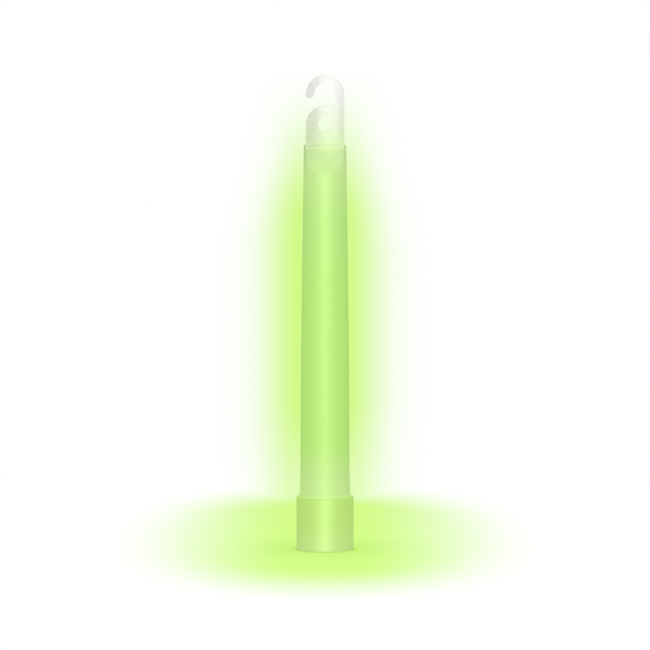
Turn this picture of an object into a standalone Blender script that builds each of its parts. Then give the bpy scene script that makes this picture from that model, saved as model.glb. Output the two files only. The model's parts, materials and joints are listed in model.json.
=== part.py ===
"""A chemical light stick, cracked and lit, standing on its base.

A flexible moulded tube ends in a lanyard tab and a hook. A wide cap closes its mouth and is the
foot that it stands on. Inside are a stopper, the glowing liquid, and the glass ampoule that was
snapped to mix the liquid: five cracked lengths and a few chips.

Metres, +Z up. The origin is the middle of the foot, the axis of the tube is Z, and the hook lies
flat in the XZ plane with its mouth towards -X.
"""

import math

import bmesh
import bpy
from mathutils import Matrix

MM = 0.001
CLEARANCE = 0.3 * MM  # between any two pieces that touch

# Whole object
TOTAL_HEIGHT = 150.0 * MM

# Base cap
CAP_RADIUS = 9.05 * MM
CAP_HEIGHT = 16.8 * MM
CAP_WALL = 1.05 * MM
CAP_FLOOR = 1.6 * MM
CAP_EDGE = 0.35 * MM
FOOT_RING_INNER = 6.2 * MM
FOOT_RECESS = 0.6 * MM

# Tube: its radius falls slowly from the belly to the shoulder, and flares a little at the cap
BELLY_RADIUS = 7.8 * MM
BELLY_Z = 26.0 * MM
SHOULDER_RADIUS = 6.65 * MM
SHOULDER_Z = 127.6 * MM
TAPER_POWER = 1.5
FLARE = 0.25 * MM
TUBE_WALL = 1.35 * MM
SPIGOT_RADIUS = CAP_RADIUS - CAP_WALL - CLEARANCE
SPIGOT_TOP = CAP_HEIGHT + CLEARANCE
BORE_DOME_Z = 117.3 * MM

# Tab, lanyard hole and hook: one plate, TAB_HALF_WIDTH each side of the axis
TAB_HALF_WIDTH = 6.05 * MM
TAB_HALF_THICKNESS = 1.6 * MM
TAB_EDGE = 0.55 * MM
TAB_FOOT_Z = 124.5 * MM
TAB_STEP_Z = 128.4 * MM
HOLE_Z = 134.3 * MM
HOLE_RADIUS = 2.2 * MM
HOOK_STROKE = 2.65 * MM
HOOK_Z = TOTAL_HEIGHT - TAB_HALF_WIDTH
HOOK_END_ANGLE = math.radians(178)
CROOK_FILLET = 1.4 * MM
PINCH_START_Z = 118.0 * MM  # from here up, the round tube is pinched down to the flat tab
PINCH_HALF_DEPTH = 1.85 * MM
PINCH_SQUARENESS = 4.0
TAB_SINK = 0.1 * MM  # how far the tube's top ring lies inside the tab

# Stopper
PLUG_FLANGE = 1.5 * MM
PLUG_TOP = 20.0 * MM
PLUG_GROOVE = 0.7 * MM
PLUG_RIBS = 3
PLUG_RIB_HEIGHT = 1.6 * MM
PLUG_CORE_RADIUS = 3.4 * MM
PLUG_CORE_TOP = 16.5 * MM

# Glass ampoule and its cracks
GLASS_RADIUS = 4.3 * MM
GLASS_WALL = 0.75 * MM
GLASS_LENGTH = 93.0 * MM
GLASS_GAP = 0.35 * MM
GLASS_LENGTHS = 5
CRACK_SLANT = 1.5 * MM
CRACK_TOOTH = 0.55 * MM
CRACK_UNEVENNESS = 0.12  # of the spacing between two cracks
CRACK_TURN = 1.9  # radians that each crack's slant is turned from the last
CRACK_SLAB_RADIUS = 1.5 * GLASS_RADIUS
CHIPS = 4
CHIP_SIDES = 5
CHIP_WIDTH = 2.5 * MM
CHIP_HEIGHT = 3.1 * MM
CHIP_UNEVENNESS = 0.16
CHIP_RING = 4.85 * MM
CHIP_TURN = 0.5  # radians from +X to the first chip

# Liquid
LIQUID_FLOOR = 22.3 * MM
LIQUID_TOP = 111.0 * MM

# How finely curves are stepped
ROUND_FINE = 64
ROUND_COARSE = 32
DOME_STEPS = 6
EDGE_STEPS = 3
FLARE_STEPS = 5
TAPER_STEPS = 10
PINCH_STEPS = 14
BORE_STEPS = 7


def clear_scene():
    for obj in list(bpy.data.objects):
        bpy.data.objects.remove(obj, do_unlink=True)


def new_collection(name):
    collection = bpy.data.collections.new(name)
    bpy.context.scene.collection.children.link(collection)
    return collection


def plastic(name, colour, roughness=0.4, transmission=0.0, glow=0.0):
    """A Principled material, with its glow in the same colour."""
    material = bpy.data.materials.new(name)
    material.use_nodes = True
    shader = material.node_tree.nodes["Principled BSDF"]
    shader.inputs["Base Color"].default_value = (*colour, 1)
    shader.inputs["Roughness"].default_value = roughness
    shader.inputs["Metallic"].default_value = 0
    shader.inputs["Transmission Weight"].default_value = transmission
    shader.inputs["Emission Color"].default_value = (*colour, 1)
    shader.inputs["Emission Strength"].default_value = glow
    return material


def arc(centre, radius, start, end, steps):
    """Points (x, z) along an arc, both ends included."""
    angles = [start + (end - start) * i / steps for i in range(steps + 1)]
    return [(centre[0] + radius * math.cos(a), centre[1] + radius * math.sin(a)) for a in angles]


def add_part(name, data, collection, material=None):
    obj = bpy.data.objects.new(name, data)
    collection.objects.link(obj)
    if material:
        data.materials.append(material)
    return obj


def turned(name, chains, segments, collection, material=None):
    """A solid of revolution about Z from chains of (radius, z) points, down the outside first.
    A chain that starts off the axis closes on itself."""
    points = []
    edges = []
    for chain in chains:
        first = len(points)
        points += [(radius, 0, z) for radius, z in chain]
        last = len(points) - 1
        edges += [(i, i + 1) for i in range(first, last)]
        if chain[0][0] > 0:
            edges.append((last, first))
    mesh = bpy.data.meshes.new(name)
    mesh.from_pydata(points, edges, [])
    obj = add_part(name, mesh, collection, material)
    screw = obj.modifiers.new("Turn", "SCREW")
    screw.axis = "Z"
    screw.steps = screw.render_steps = segments
    screw.use_merge_vertices = True
    screw.merge_threshold = 0.01 * MM
    return obj


def evaluated_mesh(obj):
    graph = bpy.context.evaluated_depsgraph_get()
    return bpy.data.meshes.new_from_object(obj.evaluated_get(graph))


def finish(obj, sharp_from=35):
    """Applies the modifiers, and shades the round faces smooth."""
    bpy.context.view_layer.update()
    mesh = evaluated_mesh(obj)
    obj.modifiers.clear()
    obj.data = mesh
    mesh.shade_smooth()
    mesh.set_sharp_from_angle(angle=math.radians(sharp_from))
    return obj


def make_cutter(obj):
    obj.hide_render = True
    obj.display_type = "WIRE"
    return obj


def boolean(obj, operation, other):
    modifier = obj.modifiers.new(operation.title(), "BOOLEAN")
    modifier.operation = operation
    modifier.solver = "EXACT"
    modifier.object = other


def tube_radius(z):
    """Outer radius of the tube at a height."""
    if z < BELLY_Z:
        return BELLY_RADIUS + FLARE * ((BELLY_Z - z) / (BELLY_Z - SPIGOT_TOP)) ** 2
    rise = (z - BELLY_Z) / (SHOULDER_Z - BELLY_Z)
    return BELLY_RADIUS - (BELLY_RADIUS - SHOULDER_RADIUS) * rise**TAPER_POWER


def bore_radius(z):
    """Inner radius of the tube: one wall inside the belly and taper, straight below."""
    return tube_radius(max(z, BELLY_Z)) - TUBE_WALL


def bore_roof():
    return BORE_DOME_Z + bore_radius(BORE_DOME_Z)


def heights(low, high, steps):
    return [low + (high - low) * i / steps for i in range(steps + 1)]


def mouth_height():
    return CAP_FLOOR + PLUG_FLANGE + 2 * CLEARANCE


def bore_profile():
    """The hollow of the tube, from its domed roof down to just below the mouth."""
    dome = arc((0, BORE_DOME_Z), bore_radius(BORE_DOME_Z), math.pi / 2, 0, DOME_STEPS)
    taper = [(bore_radius(z), z) for z in reversed(heights(BELLY_Z, BORE_DOME_Z, BORE_STEPS)[:-1])]
    below = mouth_height() - PLUG_FLANGE / 2
    return [(0, bore_roof())] + dome[1:] + taper + [(bore_radius(below), below), (0, below)]


def tube_sections():
    """(z, half width, half depth, squareness) of the tube's skin, from its mouth up. It is
    round up to the pinch, where its depth eases down to the tab's and its corners square up."""
    sections = [(mouth_height(), SPIGOT_RADIUS), (SPIGOT_TOP, SPIGOT_RADIUS)]
    sections += [(z, tube_radius(z)) for z in heights(SPIGOT_TOP, BELLY_Z, FLARE_STEPS)]
    sections += [(z, tube_radius(z)) for z in heights(BELLY_Z, PINCH_START_Z, TAPER_STEPS)[1:]]
    rounded = [(z, radius, radius, 2) for z, radius in sections]
    pinched = []
    for z in heights(PINCH_START_Z, SHOULDER_Z, PINCH_STEPS)[1:]:
        rise = (z - PINCH_START_Z) / (SHOULDER_Z - PINCH_START_Z)
        ease = rise * rise * (3 - 2 * rise)
        radius = tube_radius(z)
        depth = radius + (PINCH_HALF_DEPTH - radius) * ease
        pinched.append((z, radius, depth, 2 + (PINCH_SQUARENESS - 2) * ease))
    half_width = TAB_HALF_WIDTH - TAB_SINK
    half_depth = TAB_HALF_THICKNESS - TAB_SINK
    top = (TAB_STEP_Z, half_width, half_depth, PINCH_SQUARENESS)
    return rounded + pinched + [top]


def squared_ring(half_width, half_depth, squareness, segments):
    """Points (x, y) round a superellipse, which is an ellipse at squareness 2."""
    points = []
    for i in range(segments):
        angle = 2 * math.pi * (i + 0.5) / segments
        x, y = math.cos(angle), math.sin(angle)
        points.append(
            (
                math.copysign(abs(x) ** (2 / squareness), x) * half_width,
                math.copysign(abs(y) ** (2 / squareness), y) * half_depth,
            )
        )
    return points


def lofted(name, sections, segments, collection, material):
    """A solid skinned over rings of unlike section, the lowest first."""
    shape = bmesh.new()
    rings = []
    for z, half_width, half_depth, squareness in sections:
        ring = squared_ring(half_width, half_depth, squareness, segments)
        rings.append([shape.verts.new((x, y, z)) for x, y in ring])
    for lower, upper in zip(rings, rings[1:]):
        for i in range(segments):
            j = (i + 1) % segments
            shape.faces.new((lower[i], lower[j], upper[j], upper[i]))
    shape.faces.new(reversed(rings[0]))
    shape.faces.new(rings[-1])
    mesh = bpy.data.meshes.new(name)
    shape.to_mesh(mesh)
    shape.free()
    return add_part(name, mesh, collection, material)


def hook_outline():
    """The edge of the tab and hook, anticlockwise from the foot of the tab on the hook's side."""
    centre = (0, HOOK_Z)
    inner = TAB_HALF_WIDTH - HOOK_STROKE
    middle = TAB_HALF_WIDTH - HOOK_STROKE / 2
    shoulder_top = HOLE_Z + TAB_HALF_WIDTH
    tip = (middle * math.cos(HOOK_END_ANGLE), HOOK_Z + middle * math.sin(HOOK_END_ANGLE))
    crook = (inner - CROOK_FILLET, shoulder_top + CROOK_FILLET)
    tip_round = arc(tip, HOOK_STROKE / 2, HOOK_END_ANGLE, HOOK_END_ANGLE + math.pi, 10)
    return (
        [(TAB_HALF_WIDTH, TAB_FOOT_Z)]
        + arc(centre, TAB_HALF_WIDTH, 0, HOOK_END_ANGLE, 28)
        + tip_round[1:-1]
        + arc(centre, inner, HOOK_END_ANGLE, 0, 24)
        + arc(crook, CROOK_FILLET, 0, -math.pi / 2, 6)
        + arc((0, HOLE_Z), TAB_HALF_WIDTH, math.pi / 2, math.pi, 14)
        + [(-TAB_HALF_WIDTH, TAB_FOOT_Z)]
    )


def flat_plate(name, outlines, half_thickness, edge, collection):
    """A plate in the XZ plane from closed outlines, the inner ones being holes."""
    curve = bpy.data.curves.new(name, "CURVE")
    curve.dimensions = "2D"
    curve.fill_mode = "BOTH"
    curve.extrude = half_thickness
    for outline in outlines:
        spline = curve.splines.new("POLY")
        spline.points.add(len(outline) - 1)
        spline.use_cyclic_u = True
        for point, (x, z) in zip(spline.points, outline):
            point.co = (x, z, 0, 1)
    flat = bpy.data.objects.new(name + "_outline", curve)
    collection.objects.link(flat)
    bpy.context.view_layer.update()
    mesh = evaluated_mesh(flat)
    mesh.transform(Matrix.Rotation(math.pi / 2, 4, "X"))
    bpy.data.objects.remove(flat, do_unlink=True)
    shape = bmesh.new()
    shape.from_mesh(mesh)
    bmesh.ops.remove_doubles(shape, verts=shape.verts, dist=0.01 * MM)
    bmesh.ops.dissolve_limit(
        shape, angle_limit=math.radians(0.5), verts=shape.verts, edges=shape.edges
    )
    shape.to_mesh(mesh)
    shape.free()
    plate = add_part(name, mesh, collection)
    bevel = plate.modifiers.new("Edge", "BEVEL")
    bevel.width = edge
    bevel.segments = EDGE_STEPS
    bevel.limit_method = "ANGLE"
    bevel.angle_limit = math.radians(60)
    return finish(plate)


def build_outer_tube(parts, cutters):
    milky = plastic("milky_polyethylene", (0.72, 0.95, 0.45), 0.35, transmission=0.4, glow=0.3)
    tube = lofted("outer_tube", tube_sections(), ROUND_FINE, parts, milky)
    hole = arc((0, HOLE_Z), HOLE_RADIUS, 0, 2 * math.pi, 32)[:-1]
    outlines = [hook_outline(), hole]
    tab = flat_plate("hook_plate", outlines, TAB_HALF_THICKNESS, TAB_EDGE, cutters)
    bore = finish(turned("tube_bore", [bore_profile()], ROUND_COARSE, cutters))
    boolean(tube, "UNION", make_cutter(tab))
    boolean(tube, "DIFFERENCE", make_cutter(bore))
    return finish(tube)


def build_base_cap(parts):
    """A cup with rounded edges, whose floor stands on a ring."""
    inner = CAP_RADIUS - CAP_WALL
    lip = arc((CAP_RADIUS - CAP_EDGE, CAP_HEIGHT - CAP_EDGE), CAP_EDGE, math.pi / 2, 0, EDGE_STEPS)
    heel = arc((CAP_RADIUS - CAP_EDGE, CAP_EDGE), CAP_EDGE, 0, -math.pi / 2, EDGE_STEPS)
    recess = [
        (FOOT_RING_INNER, 0),
        (FOOT_RING_INNER - FOOT_RECESS, FOOT_RECESS),
        (0, FOOT_RECESS),
    ]
    cup = [(0, CAP_FLOOR), (inner, CAP_FLOOR), (inner, CAP_HEIGHT)]
    profile = lip + heel + recess
    material = plastic("cap_polyethylene", (0.6, 0.9, 0.35), 0.4, transmission=0.3, glow=0.25)
    return finish(turned("base_cap", [cup + profile], ROUND_FINE, parts, material))


def build_sealing_plug(parts):
    """A stopper with a flange, sealing ribs and a cored underside."""
    floor = CAP_FLOOR + CLEARANCE
    sealing = bore_radius(0) - CLEARANCE
    stem = sealing - PLUG_GROOVE
    first_rib = floor + PLUG_FLANGE + PLUG_RIB_HEIGHT
    pitch = (PLUG_TOP - PLUG_RIB_HEIGHT - first_rib) / (PLUG_RIBS - 1)
    profile = [(0, PLUG_TOP), (stem, PLUG_TOP)]
    for rib in reversed(range(PLUG_RIBS)):
        base = first_rib + rib * pitch - PLUG_RIB_HEIGHT / 2
        crown = base + PLUG_RIB_HEIGHT / 2
        profile += [(stem, base + PLUG_RIB_HEIGHT), (sealing, crown), (stem, base)]
    profile += [
        (stem, floor + PLUG_FLANGE),
        (SPIGOT_RADIUS, floor + PLUG_FLANGE),
        (SPIGOT_RADIUS, floor),
        (PLUG_CORE_RADIUS, floor),
        (PLUG_CORE_RADIUS, PLUG_CORE_TOP - PLUG_CORE_RADIUS / 2),
        (PLUG_CORE_RADIUS / 2, PLUG_CORE_TOP),
        (0, PLUG_CORE_TOP),
    ]
    material = plastic("stopper_polyethylene", (0.85, 0.88, 0.82), 0.5)
    return finish(turned("sealing_plug", [profile], ROUND_COARSE, parts, material))


def glass_floor():
    return PLUG_TOP + CLEARANCE


def on_axis(points):
    """The same points, with those that rounding left a hair off the axis put on it."""
    return [(radius if abs(radius) > 1e-9 else 0, z) for radius, z in points]


def build_ampoule(name, collection, material):
    """The whole glass ampoule, ready for a cutter: its outer skin from the top down, and its
    inner one from the bottom up."""
    low = glass_floor() + GLASS_RADIUS
    high = glass_floor() + GLASS_LENGTH - GLASS_RADIUS
    bore = GLASS_RADIUS - GLASS_WALL
    quarter = math.pi / 2
    outside = arc((0, high), GLASS_RADIUS, quarter, 0, DOME_STEPS)
    outside += arc((0, low), GLASS_RADIUS, 0, -quarter, DOME_STEPS)
    inside = arc((0, low), bore, -quarter, 0, DOME_STEPS)
    inside += arc((0, high), bore, 0, quarter, DOME_STEPS)
    skins = [on_axis(outside), on_axis(inside)]
    return turned(name, skins, ROUND_COARSE, collection, material)


def crack_height(number, angle):
    """Height of a crack round the ampoule: a slant with uneven teeth. Cracks 0 and
    GLASS_LENGTHS are flat and lie beyond its ends."""
    spacing = GLASS_LENGTH / GLASS_LENGTHS
    level = glass_floor() + spacing * (number + CRACK_UNEVENNESS * math.sin(2 * number))
    if number == 0:
        return glass_floor() - GLASS_RADIUS
    if number == GLASS_LENGTHS:
        return glass_floor() + GLASS_LENGTH + GLASS_RADIUS
    slant = CRACK_SLANT * math.cos(angle - CRACK_TURN * number)
    teeth = CRACK_TOOTH * (math.sin(5 * angle + number) + math.sin(13 * angle - 2 * number))
    return level + slant + teeth


def crack_slab(number, collection):
    """The stretch of space between two neighbouring cracks."""
    shape = bmesh.new()
    bmesh.ops.create_cone(
        shape,
        cap_ends=True,
        cap_tris=True,
        segments=ROUND_COARSE,
        radius1=CRACK_SLAB_RADIUS,
        radius2=CRACK_SLAB_RADIUS,
        depth=GLASS_LENGTH / GLASS_LENGTHS,
    )
    for vertex in shape.verts:
        crack = number + (1 if vertex.co.z > 0 else 0)
        if vertex.co.xy.length > GLASS_RADIUS:
            vertex.co.z = crack_height(crack, math.atan2(vertex.co.y, vertex.co.x))
        else:
            turns = range(ROUND_COARSE)
            ring = [crack_height(crack, 2 * math.pi * i / ROUND_COARSE) for i in turns]
            vertex.co.z = sum(ring) / ROUND_COARSE
    mesh = bpy.data.meshes.new(f"crack_slab_{number + 1}")
    shape.to_mesh(mesh)
    shape.free()
    return make_cutter(add_part(mesh.name, mesh, collection))


def build_glass_lengths(parts, cutters, material):
    """The ampoule cut at its cracks, each length raised by one gap over the one below."""
    for number in range(GLASS_LENGTHS):
        length = build_ampoule(f"glass_length_{number + 1}", parts, material)
        slab = crack_slab(number, cutters)
        boolean(length, "INTERSECT", slab)
        finish(length, sharp_from=25)
        length.location.z = number * GLASS_GAP
        slab.location.z = number * GLASS_GAP


def chip_cutter(number, middle, collection):
    """An uneven five-sided bar that runs out through the ampoule's wall."""
    shape = bmesh.new()
    bmesh.ops.create_cone(
        shape, cap_ends=True, segments=CHIP_SIDES, radius1=0.5, radius2=0.5, depth=4 * GLASS_WALL
    )
    for vertex in shape.verts:
        side = round(math.atan2(vertex.co.y, vertex.co.x) * CHIP_SIDES / (2 * math.pi))
        stretch = 1 + CHIP_UNEVENNESS * math.sin(3 * side + 2 * number)
        vertex.co.x *= CHIP_HEIGHT * stretch
        vertex.co.y *= CHIP_WIDTH * stretch
    shape.transform(Matrix.Translation(middle) @ Matrix.Rotation(math.pi / 2, 4, "Y"))
    mesh = bpy.data.meshes.new(f"chip_cutter_{number + 1}")
    shape.to_mesh(mesh)
    shape.free()
    return make_cutter(add_part(mesh.name, mesh, collection))


def build_glass_chips(parts, cutters, material):
    """Slivers of the ampoule's wall, lying on the stopper round the lowest length."""
    middle = (GLASS_RADIUS - GLASS_WALL / 2, 0, glass_floor() + GLASS_LENGTH / 2)
    rest_z = glass_floor() + CLEARANCE + GLASS_WALL / 2
    to_origin = Matrix.Translation([-c for c in middle])
    lie_flat = Matrix.Rotation(-math.pi / 2, 4, "Y")
    for number in range(CHIPS):
        chip = build_ampoule(f"glass_chip_{number + 1}", parts, material)
        cutter = chip_cutter(number, middle, cutters)
        boolean(chip, "INTERSECT", cutter)
        finish(chip, sharp_from=25)
        chip.data.transform(lie_flat @ to_origin)
        place = number + CRACK_UNEVENNESS * math.sin(2 * number)
        angle = 2 * math.pi * place / CHIPS + CHIP_TURN
        chip.location = (CHIP_RING * math.cos(angle), CHIP_RING * math.sin(angle), rest_z)
        chip.rotation_euler.z = angle + math.pi / 2
        cutter.location = chip.location


def build_liquid(parts):
    """The mixed liquid: a ring round the glass, and a column that fills the glass."""
    glowing = plastic("glowing_liquid", (0.5, 1.0, 0.1), 0.1, transmission=0.5, glow=3.0)
    inner = GLASS_RADIUS + CLEARANCE
    levels = heights(LIQUID_FLOOR, LIQUID_TOP, BORE_STEPS)
    outside = [(bore_radius(z) - CLEARANCE, z) for z in reversed(levels)]
    ring = [(inner, LIQUID_TOP)] + outside + [(inner, LIQUID_FLOOR)]
    finish(turned("glow_liquid_ring", [ring], ROUND_COARSE, parts, glowing))
    bore = GLASS_RADIUS - GLASS_WALL - CLEARANCE
    dome = arc((0, glass_floor() + GLASS_RADIUS), bore, 0, -math.pi / 2, DOME_STEPS)
    column = [(0, LIQUID_TOP), (bore, LIQUID_TOP)] + dome[:-1] + [(0, dome[-1][1])]
    finish(turned("glow_liquid_core", [column], ROUND_COARSE, parts, glowing))


def main():
    clear_scene()
    parts = new_collection("light_stick")
    cutters = new_collection("cutters")
    glass = plastic("ampoule_glass", (0.95, 0.98, 0.96), 0.05, transmission=1.0)
    build_base_cap(parts)
    build_sealing_plug(parts)
    build_outer_tube(parts, cutters)
    build_glass_lengths(parts, cutters, glass)
    build_glass_chips(parts, cutters, glass)
    build_liquid(parts)
    cutters.hide_render = True


main()
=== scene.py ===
"""The looks of a lit chemical light stick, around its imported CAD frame.

Metres, +Z up. The stick stands on the origin and the camera looks along +Y.
"""

import json
import math

import bmesh
import bpy
from mathutils import Matrix, Vector

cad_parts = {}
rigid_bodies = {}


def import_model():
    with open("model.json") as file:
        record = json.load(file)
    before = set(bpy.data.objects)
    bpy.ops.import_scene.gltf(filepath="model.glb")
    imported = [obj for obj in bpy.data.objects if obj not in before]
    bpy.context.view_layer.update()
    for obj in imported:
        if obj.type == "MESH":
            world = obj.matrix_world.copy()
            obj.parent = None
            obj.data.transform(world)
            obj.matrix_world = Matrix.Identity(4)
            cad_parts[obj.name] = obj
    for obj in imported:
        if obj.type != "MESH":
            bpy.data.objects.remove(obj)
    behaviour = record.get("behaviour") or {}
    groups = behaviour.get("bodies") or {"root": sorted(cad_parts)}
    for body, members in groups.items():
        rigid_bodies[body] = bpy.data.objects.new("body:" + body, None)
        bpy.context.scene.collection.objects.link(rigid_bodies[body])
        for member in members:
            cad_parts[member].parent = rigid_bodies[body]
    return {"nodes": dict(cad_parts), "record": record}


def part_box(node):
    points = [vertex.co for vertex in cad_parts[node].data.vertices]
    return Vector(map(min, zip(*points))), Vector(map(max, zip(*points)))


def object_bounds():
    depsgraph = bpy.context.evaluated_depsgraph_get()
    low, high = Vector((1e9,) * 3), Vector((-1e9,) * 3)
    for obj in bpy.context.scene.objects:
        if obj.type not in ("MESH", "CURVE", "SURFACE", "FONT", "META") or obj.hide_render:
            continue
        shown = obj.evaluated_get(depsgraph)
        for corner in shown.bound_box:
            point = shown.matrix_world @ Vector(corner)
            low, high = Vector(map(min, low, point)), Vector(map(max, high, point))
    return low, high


MM = 0.001

# Colours are linear RGB. These are how the lit plastic looks at the sides of the stick, away from
# its sheen: from the middle of the tube up to the hook, and then the collar
LIT_GREEN = (0.427, 0.732, 0.166)
UPPER_GREEN = (0.437, 0.730, 0.201)
PALE_GREEN = (0.500, 0.738, 0.256)
FADED_GREEN = (0.558, 0.758, 0.335)
TAB_GREEN = (0.625, 0.752, 0.450)
TAB_PALE = (0.690, 0.762, 0.568)
HOOK_WHITE = (0.760, 0.775, 0.730)
CAP_GREEN = (0.447, 0.690, 0.163)
CAP_FOOT = (0.478, 0.700, 0.212)

WHITE = (1.0, 1.0, 1.0)
SHEEN_GREEN = (0.74, 1.0, 0.42)  # tints the sheen, as the light in the green plastic does
# The grey of the painted shade at the edges of the tab and hook
PAINTED_EDGE_SHADE = (0.69, 0.69, 0.70)  # multiplies the look at the edges of the tab and hook
# The colour of the stick's light as it is painted on the floor and on the clear backdrop
PAINTED_GLOW_GREEN = (0.640, 0.957, 0.240)  # the stick's light on the floor and in the air
FLOOR_GREY = (0.93, 0.93, 0.93)

# Pairs of shades, the darker first, and the noise values that they stand at
STOPPER_SHADES = ((0.78, 0.80, 0.74), (0.86, 0.88, 0.82))
LIQUID_SHADES = ((0.42, 0.85, 0.08), (0.60, 0.96, 0.20))
LIQUID_LIGHT = ((0.30, 0.75, 0.04), (0.48, 1.0, 0.12))
GLASS_SHADES = ((0.90, 0.97, 0.90), (0.98, 1.0, 0.98))
NOISE_RANGE = (0.3, 0.7)

# How much of a look is light that comes out of the plastic. What falls on the plastic gives the
# rest, so its own colour is darkened by nearly as much
TUBE_GLOW = 0.84
TAB_GLOW = 0.60
HOOK_GLOW = 0.40
CAP_GLOW = 0.89
DARKENING = 0.9

LEVEL_WAVER = 3 * MM  # how far the bands of colour on the tube wander up and down
CAP_PALE_SHARE = 0.6  # how much of the collar's height it takes to lose the foot's paler green

# The painted shade at the edges of the tab and hook, which leaves them lighter up their middle:
# where it starts and is full on each side of the axis, and how high above the liquid
PAINTED_SHADE_LEFT = (1 * MM, -5 * MM)
PAINTED_SHADE_RIGHT = (1.5 * MM, 6.5 * MM)
PAINTED_SHADE_RIGHT_SHARE = 0.7
PAINTED_SHADE_START_ABOVE = 10 * MM
PAINTED_SHADE_FULL_ABOVE = 19 * MM

# Camera: where it stands, and how much of the object's plane it takes in
CAMERA_DISTANCE = 1.2
CAMERA_HEIGHT = 0.16
VIEW_WIDTH = 0.2053
VIEW_CENTRE = Vector((0.0, 0, 0.0712))

# Lamps: the place and the width and height of each soft box, and how strong each lamp is. The
# middle of the rear box is lower than the floor, which casts no shadow. From there, its
# reflection stays off the upper edges of the hook and tab
KEY_BOX = ((0.0, -0.6, 0.16), (0.16, 0.5))
KEY_WATTS = 3.7
REAR_BOX = ((0.0, 0.7, -0.15), (0.3, 0.4))
REAR_WATTS = 3.3
REAR_CAP_WATTS = 3.0
SUN_PLACE = (0.0, 0.0, 1.0)
FLOOR_SUN = 2.93
FLOOR_SUN_SPREAD = math.radians(30)
TUBE_SUN = 0.8
TUBE_SUN_SPREAD = math.radians(50)
LAMPS_AIM_AT = Vector((0.0, 0.0, 75 * MM))
SURROUND = 0.15  # how brightly the white surround lights things

# The floor ends this far behind the stick. The backdrop stands further off than a camera that
# looks at the back of the stick, so that it never comes between them
FLOOR_BACK = 0.2
FLOOR_SIZE = 20.0
BACKDROP_DISTANCE = 1.2

# The painted pool of the stick's light on the floor: an oval whose edge is soft between two shares
# of its reach. It also fades sideways, from a narrow core out to its reach, so the oval is a little
# wider than that
POOL_REACH_X = 78 * MM
POOL_REACH_Y = 152 * MM
POOL_CENTRE_Y = 33 * MM
POOL_EDGE = (1.02, 0.5)
POOL_CORE = 0.1 * POOL_REACH_X
OVAL_REACH_X = POOL_REACH_X / 0.9

# The painted glow round the stick, at the stick's own size. Across, it is full out to the core and
# then falls off. Up, it rises from the floor's edge, and narrows and fades from the middle to the
# hook. Its tail, painted on the floor, is full from half way to the floor's edge
HALO_CENTRE = -0.7 * MM
HALO_CORE = 7 * MM
HALO_REACH = 12.5 * MM
HALO_HALF_WIDTH = 50 * MM
HALO_TOP = 155 * MM
HALO_AT_FLOOR = 0.74
HALO_RISE = (23 * MM, 45 * MM)
HALO_FADE = (HALO_TOP, 103 * MM)
HALO_TAPER = (92 * MM, 132 * MM)
HALO_TOP_WIDTH = 0.78
TAIL_FULL = 0.5 * FLOOR_BACK


def make_world():
    """A white surround: pure white where it is looked at, softer where it lights things."""
    world = bpy.data.worlds.new("studio")
    bpy.context.scene.world = world
    world.use_nodes = True
    nodes, links = world.node_tree.nodes, world.node_tree.links
    background = nodes["Background"]
    background.inputs["Color"].default_value = (*WHITE, 1)
    path = nodes.new("ShaderNodeLightPath")
    seen = nodes.new("ShaderNodeMapRange")
    seen.inputs["To Min"].default_value = SURROUND
    seen.inputs["To Max"].default_value = 1.0
    links.new(path.outputs["Is Camera Ray"], seen.inputs["Value"])
    links.new(seen.outputs["Result"], background.inputs["Strength"])


def aim(obj, target):
    obj.rotation_euler = (target - obj.location).to_track_quat("-Z", "Y").to_euler()


def add_lamp(name, kind, power, place, lit):
    """A lamp aimed at the middle of the stick, which lights only the given objects."""
    lamp = bpy.data.lights.new(name, kind)
    lamp.energy = power
    obj = bpy.data.objects.new(name, lamp)
    bpy.context.scene.collection.objects.link(obj)
    obj.location = place
    aim(obj, LAMPS_AIM_AT)
    receivers = bpy.data.collections.new(name + "_lights")
    for other in lit:
        receivers.objects.link(other)
    obj.light_linking.receiver_collection = receivers
    return obj


def add_softbox(name, box, watts, lit):
    place, size = box
    softbox = add_lamp(name, "AREA", watts, place, lit)
    softbox.data.shape = "RECTANGLE"
    softbox.data.size, softbox.data.size_y = size
    return softbox


def add_sun(name, strength, spread, lit):
    """A lamp straight overhead, made softer by its spread."""
    add_lamp(name, "SUN", strength, SUN_PLACE, lit).data.angle = spread


def make_lights(floor, cap, others):
    """A tall box in front gives the sheen down the stick, and one behind lights its back, with
    no glint on the collar's rim. Overhead, one sun whitens the floor and a weaker one lights all
    of the stick but its collar."""
    make_world()
    add_softbox("key", KEY_BOX, KEY_WATTS, [cap, *others])
    add_softbox("behind", REAR_BOX, REAR_WATTS, others)
    add_softbox("behind_cap", REAR_BOX, REAR_CAP_WATTS, [cap]).visible_glossy = False
    add_sun("overhead", FLOOR_SUN, FLOOR_SUN_SPREAD, [floor])
    add_sun("top", TUBE_SUN, TUBE_SUN_SPREAD, others)


def make_camera():
    camera = bpy.data.cameras.new("camera")
    obj = bpy.data.objects.new("camera", camera)
    bpy.context.scene.collection.objects.link(obj)
    obj.location = (VIEW_CENTRE.x, -CAMERA_DISTANCE, CAMERA_HEIGHT)
    aim(obj, VIEW_CENTRE)
    reach = (VIEW_CENTRE - obj.location).length
    camera.lens = camera.sensor_width * reach / VIEW_WIDTH
    bpy.context.scene.camera = obj


def grey(value):
    return (value, value, value)


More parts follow.
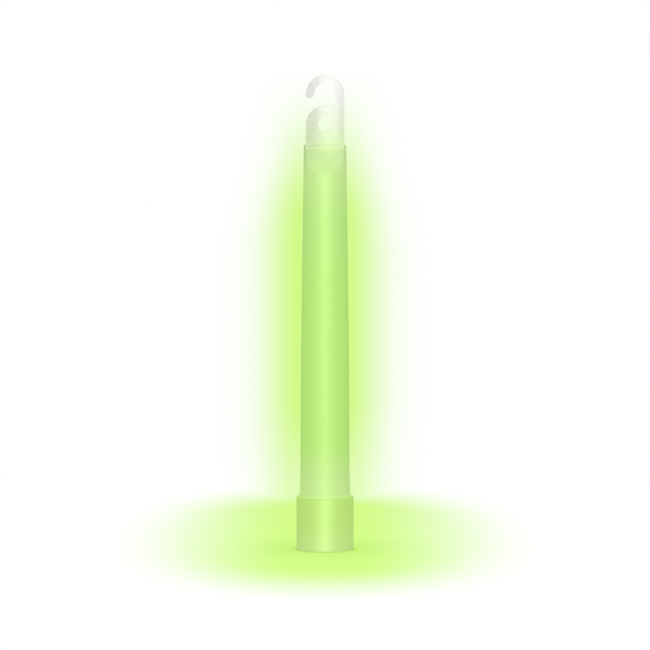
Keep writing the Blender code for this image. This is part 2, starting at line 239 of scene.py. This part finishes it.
class Shader:
    """A Principled material and the nodes that feed it."""

    def __init__(self, name, **sockets):
        self.material = bpy.data.materials.new(name)
        self.material.use_nodes = True
        self.tree = self.material.node_tree
        self.principled = self.tree.nodes["Principled BSDF"]
        for socket, value in sockets.items():
            self.feed(socket.replace("_", " "), value)
        coordinates = self.tree.nodes.new("ShaderNodeTexCoord")
        self.place = coordinates.outputs["Object"]

    def put(self, node, socket, value):
        """Gives a socket a number, a colour or another node's output."""
        entry = node.inputs[socket]
        if isinstance(value, bpy.types.NodeSocket):
            self.tree.links.new(value, entry)
        elif isinstance(value, tuple) and len(value) == 3 and entry.type == "RGBA":
            entry.default_value = (*value, 1)
        else:
            entry.default_value = value

    def feed(self, socket, value):
        self.put(self.principled, socket, value)

    def node(self, kind, output=0, settings=None, **sockets):
        made = self.tree.nodes.new("ShaderNode" + kind)
        for key, value in (settings or {}).items():
            setattr(made, key, value)
        for socket, value in sockets.items():
            self.put(made, socket.replace("_", " "), value)
        return made.outputs[output]

    def math(self, operation, a, b=0.0):
        made = self.tree.nodes.new("ShaderNodeMath")
        made.operation = operation
        self.put(made, 0, a)
        self.put(made, 1, b)
        return made.outputs[0]

    def axis(self, letter):
        """The place along one of the axes."""
        return self.node("SeparateXYZ", letter, Vector=self.place)

    def stretched(self, x, y, z):
        """The place, scaled along each axis."""
        return self.node("Mapping", Vector=self.place, Scale=(x, y, z))

    def length(self, vector):
        return self.node("VectorMath", "Value", {"operation": "LENGTH"}, Vector=vector)

    def noise(self, scale, detail=3.0, place=None):
        return self.node("TexNoise", Vector=place or self.place, Scale=scale, Detail=detail)

    def ramp(self, value, stops):
        """A colour ramp over a value, from (position, colour) stops."""
        made = self.tree.nodes.new("ShaderNodeValToRGB")
        made.color_ramp.interpolation = "EASE"
        elements = made.color_ramp.elements
        while len(elements) < len(stops):
            elements.new(1.0)
        for element, (position, colour) in zip(elements, stops):
            element.position = position
            element.color = (*colour, 1)
        self.put(made, "Fac", value)
        return made.outputs["Color"]

    def spread(self, value, low, high, to_low=0.0, to_high=1.0, clamp=True):
        return self.node(
            "MapRange",
            settings={"clamp": clamp},
            Value=value,
            From_Min=low,
            From_Max=high,
            To_Min=to_low,
            To_Max=to_high,
        )

    def eased(self, value):
        """Takes a straight 0 to 1 through a smooth step."""
        return self.node("MapRange", settings={"interpolation_type": "SMOOTHSTEP"}, Value=value)

    def mix(self, amount, first, second, blend="MIX"):
        made = self.tree.nodes.new("ShaderNodeMix")
        made.data_type = "RGBA"
        made.blend_type = blend
        for socket, value in zip((0, 6, 7), (amount, first, second)):
            self.put(made, socket, value)
        return made.outputs[2]

    def shaded(self, noise, shades):
        """A colour that follows a noise from the darker of two shades to the lighter."""
        return self.ramp(noise, list(zip(NOISE_RANGE, shades)))

    def uneven_roughness(self, noise, low, high):
        self.feed("Roughness", self.spread(noise, *NOISE_RANGE, low, high))

    def bump(self, height, strength, distance):
        self.feed("Normal", self.node("Bump", Height=height, Strength=strength, Distance=distance))


def polyethylene(name, ior):
    """Soft, slightly scattering plastic with a broad sheen, whose tint is left to be set."""
    s = Shader(name, IOR=ior, Subsurface_Weight=0.3)
    s.feed("Subsurface Radius", (2.0, 3.0, 1.2))
    s.feed("Subsurface Scale", 0.4 * MM)
    s.feed("Specular IOR Level", 1.0)
    return s


def lit_from_inside(s, colour, glow):
    """Splits a look between the light that comes out of the plastic and what falls on it."""
    s.feed("Emission Color", s.mix(1.0, colour, glow, "MULTIPLY"))
    s.feed("Emission Strength", 1.0)
    darkened = s.mix(1.0, glow, grey(DARKENING), "MULTIPLY")
    matte = s.mix(1.0, WHITE, darkened, "SUBTRACT")
    s.feed("Base Color", s.mix(1.0, colour, matte, "MULTIPLY"))


def moulded_finish(s, low, high):
    """Fine spark-eroded texture, drawn out a little along the tube, and uneven gloss."""
    s.uneven_roughness(s.noise(scale=700), low, high)
    grain = s.noise(scale=2600, place=s.stretched(1, 1, 0.25))
    s.bump(grain, strength=0.15, distance=0.02 * MM)


def milky_tube(total, liquid_low, liquid_top):
    """Milky polyethylene lit from inside: green where there is liquid, fading to white."""
    s = polyethylene("milky_tube", ior=1.7)
    waver = s.math("MULTIPLY", s.math("SUBTRACT", s.noise(scale=90, detail=2.0), 0.5), LEVEL_WAVER)
    level = s.spread(s.math("ADD", s.axis("Z"), waver), 0, total)

    def by_height(*stops):
        return s.ramp(level, [(height / total, colour) for height, colour in stops])

    colour = by_height(
        (liquid_low - 2 * MM, PALE_GREEN),
        (liquid_low + 14 * MM, LIT_GREEN),
        (liquid_top - 30 * MM, LIT_GREEN),
        (liquid_top - 8 * MM, UPPER_GREEN),
        (liquid_top + 7 * MM, PALE_GREEN),
        (liquid_top + 14 * MM, FADED_GREEN),
        (liquid_top + 20 * MM, TAB_GREEN),
        (liquid_top + 26 * MM, TAB_PALE),
        (liquid_top + 32 * MM, HOOK_WHITE),
    )
    glow = by_height(
        (liquid_low - 5 * MM, grey(TUBE_GLOW)),
        (liquid_top + 4 * MM, grey(TUBE_GLOW)),
        (liquid_top + 20 * MM, grey(TAB_GLOW)),
        (liquid_top + 32 * MM, grey(HOOK_GLOW)),
    )
    sheen = by_height((liquid_top + 10 * MM, SHEEN_GREEN), (liquid_top + 30 * MM, WHITE))
    s.feed("Specular Tint", sheen)
    # The look is multiplied by the painted shade at the edges of the tab and hook
    lit_from_inside(s, s.mix(1.0, colour, painted_edge_shade(s, liquid_top), "MULTIPLY"), glow)
    moulded_finish(s, 0.58, 0.66)
    return s.material


def painted_edge_shade(s, liquid_top):
    """Painted shade: the flat tab and hook are brightest up their middle, and greyer towards both
    edges.
    """
    left = s.eased(s.spread(s.axis("X"), *PAINTED_SHADE_LEFT))
    right = s.math("MULTIPLY", s.eased(s.spread(s.axis("X"), *PAINTED_SHADE_RIGHT)), PAINTED_SHADE_RIGHT_SHARE)
    on_tab = s.spread(s.axis("Z"), liquid_top + PAINTED_SHADE_START_ABOVE, liquid_top + PAINTED_SHADE_FULL_ABOVE)
    return s.mix(s.math("MULTIPLY", s.math("ADD", left, right), on_tab), WHITE, PAINTED_EDGE_SHADE)


def cap_plastic(height):
    """Clearer green plastic, a little paler towards the foot."""
    s = polyethylene("cap_plastic", ior=1.85)
    s.feed("Specular Tint", SHEEN_GREEN)
    level = s.spread(s.axis("Z"), 0, height)
    colour = s.ramp(level, [(0.0, CAP_FOOT), (CAP_PALE_SHARE, CAP_GREEN)])
    lit_from_inside(s, colour, grey(CAP_GLOW))
    moulded_finish(s, 0.54, 0.60)
    return s.material


def stopper_plastic():
    """Plain milky plastic, with no light of its own."""
    s = Shader("stopper_plastic", IOR=1.51, Subsurface_Weight=0.2)
    s.feed("Subsurface Scale", 1.0 * MM)
    s.feed("Base Color", s.shaded(s.noise(scale=300), STOPPER_SHADES))
    s.uneven_roughness(s.noise(scale=900), 0.42, 0.58)
    s.bump(s.noise(scale=1800), strength=0.3, distance=0.03 * MM)
    return s.material


def glowing_liquid():
    """Bright liquid with fine bubbles and slow swirls."""
    s = Shader("glowing_liquid", Roughness=0.08, IOR=1.48)
    swirl = s.noise(scale=160, place=s.stretched(1, 1, 0.35))
    s.feed("Base Color", s.shaded(swirl, LIQUID_SHADES))
    s.feed("Emission Color", s.shaded(swirl, LIQUID_LIGHT))
    s.feed("Emission Strength", 2.0)
    bubbles = s.node("TexVoronoi", Vector=s.place, Scale=900.0)
    s.bump(s.spread(bubbles, 0.0, 0.25), strength=0.2, distance=0.1 * MM)
    return s.material


def ampoule_glass():
    """Thin clear glass with a faint, uneven film on it."""
    s = Shader("ampoule_glass", IOR=1.47, Transmission_Weight=1.0)
    film = s.noise(scale=350)
    s.feed("Base Color", s.shaded(film, GLASS_SHADES))
    s.uneven_roughness(film, 0.02, 0.12)
    s.bump(s.noise(scale=1500, detail=2.0), strength=0.1, distance=0.02 * MM)
    return s.material


def seen_at(distance):
    """How much larger a thing this far behind the stick must be, to look the stick's size."""
    return (CAMERA_DISTANCE + distance) / CAMERA_DISTANCE


def glow_across(s, size):
    """How the glow falls off sideways from the stick: full at its core, then a bell curve."""
    across = s.math("ABSOLUTE", s.math("SUBTRACT", s.math("DIVIDE", s.axis("X"), size), HALO_CENTRE))
    reach = s.spread(across, HALO_CORE, HALO_CORE + HALO_REACH, clamp=False)
    beyond = s.math("MAXIMUM", reach, 0.0)
    return s.math("EXPONENT", s.math("MULTIPLY", s.math("MULTIPLY", beyond, beyond), -1.0))


def painted_light_pool(s):
    """How strongly the painted pool of the stick's light shows on the floor round it."""
    across = s.math("ABSOLUTE", s.axis("X"))
    aside = s.eased(s.spread(across, POOL_REACH_X, POOL_CORE))
    place = s.node("Mapping", Vector=s.place, Location=(0, -POOL_CENTRE_Y, 0))
    oval = s.node("Mapping", Vector=place, Scale=(1 / OVAL_REACH_X, 1 / POOL_REACH_Y, 0))
    return s.math("MULTIPLY", aside, s.eased(s.spread(s.length(oval), *POOL_EDGE)))


def painted_glow_tail(s):
    """How strongly the painted glow shows on the floor behind the stick, where it runs on into the
    glow painted on the backdrop.
    """
    along = s.spread(s.axis("Y"), 0.0, TAIL_FULL, 0.0, HALO_AT_FLOOR)
    return s.math("MULTIPLY", glow_across(s, seen_at(FLOOR_BACK)), along)


def floor_material():
    """A pale floor, with the stick's light painted on it as a green tint."""
    s = Shader("floor", Roughness=0.7)
    s.feed("Specular IOR Level", 0.0)
    painted_light_colour = s.mix(s.math("MAXIMUM", painted_light_pool(s), painted_glow_tail(s)), WHITE, PAINTED_GLOW_GREEN)
    s.feed("Base Color", s.mix(1.0, painted_light_colour, FLOOR_GREY, "MULTIPLY"))
    return s.material


def painted_glow_material():
    """Clear, with the stick's glow painted on it as a green tint."""
    s = Shader("painted_glow_backdrop")
    height = s.axis("Y")
    width = s.spread(s.eased(s.spread(height, *HALO_TAPER)), 0.0, 1.0, 1.0, HALO_TOP_WIDTH)
    low = s.spread(height, *HALO_RISE, HALO_AT_FLOOR, 1.0)
    high = s.eased(s.spread(height, *HALO_FADE))
    amount = s.math("MULTIPLY", glow_across(s, width), s.math("MULTIPLY", low, high))
    clear = s.node("BsdfTransparent", Color=s.mix(amount, WHITE, PAINTED_GLOW_GREEN))
    s.put(s.tree.nodes["Material Output"], "Surface", clear)
    s.tree.nodes.remove(s.principled)
    return s.material


def only_seen(obj):
    """Keeps an object of the stage from lighting, shading or reflecting in anything."""
    obj.visible_diffuse = False
    obj.visible_glossy = False
    obj.visible_shadow = False


def make_floor():
    bpy.ops.mesh.primitive_plane_add(size=FLOOR_SIZE)
    floor = bpy.context.object
    floor.data.transform(Matrix.Translation((0, FLOOR_BACK - FLOOR_SIZE / 2, 0)))
    floor.name = "floor"
    floor.data.materials.append(floor_material())
    only_seen(floor)
    return floor


def make_painted_glow():
    """An upright clear backdrop with the stick's glow painted on it, drawn at the stick's size and
    enlarged about the camera's place."""
    shape = bmesh.new()
    bmesh.ops.create_grid(shape, x_segments=1, y_segments=1, size=0.5)
    size = Matrix.Diagonal((2 * HALO_HALF_WIDTH, HALO_TOP, 1, 1))
    shape.transform(size @ Matrix.Translation((0, 0.5, 0)))
    mesh = bpy.data.meshes.new("painted_glow_backdrop")
    shape.to_mesh(mesh)
    shape.free()
    mesh.materials.append(painted_glow_material())
    card = bpy.data.objects.new(mesh.name, mesh)
    bpy.context.scene.collection.objects.link(card)
    enlarged = seen_at(BACKDROP_DISTANCE)
    card.scale = (enlarged, enlarged, enlarged)
    card.location = (0, BACKDROP_DISTANCE, CAMERA_HEIGHT * (1 - enlarged))
    card.rotation_euler.x = math.radians(90)
    only_seen(card)


def dress(obj, material):
    """Gives a CAD node one material all over."""
    obj.data.materials.clear()
    obj.data.materials.append(material)


def dress_nodes(frame, cad_top):
    liquid_low, liquid_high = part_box("glow_liquid_ring")
    cap_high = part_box("base_cap")[1]
    by_slot = {
        "milky_tube": milky_tube(cad_top, liquid_low.z, liquid_high.z),
        "cap_plastic": cap_plastic(cap_high.z),
        "stopper_plastic": stopper_plastic(),
        "glowing_liquid": glowing_liquid(),
        "ampoule_glass": ampoule_glass(),
    }
    for part in frame["record"]["subparts"]:
        dress(frame["nodes"][part["node"]], by_slot[part["material_slot"]])


def main():
    for obj in list(bpy.data.objects):
        bpy.data.objects.remove(obj, do_unlink=True)
    bpy.context.scene.view_settings.view_transform = "Standard"
    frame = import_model()
    cad_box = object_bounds()
    make_camera()
    cap = frame["nodes"]["base_cap"]
    others = [node for node in frame["nodes"].values() if node != cap]
    make_lights(make_floor(), cap, others)
    make_painted_glow()
    dress_nodes(frame, cad_box[1].z)


main()
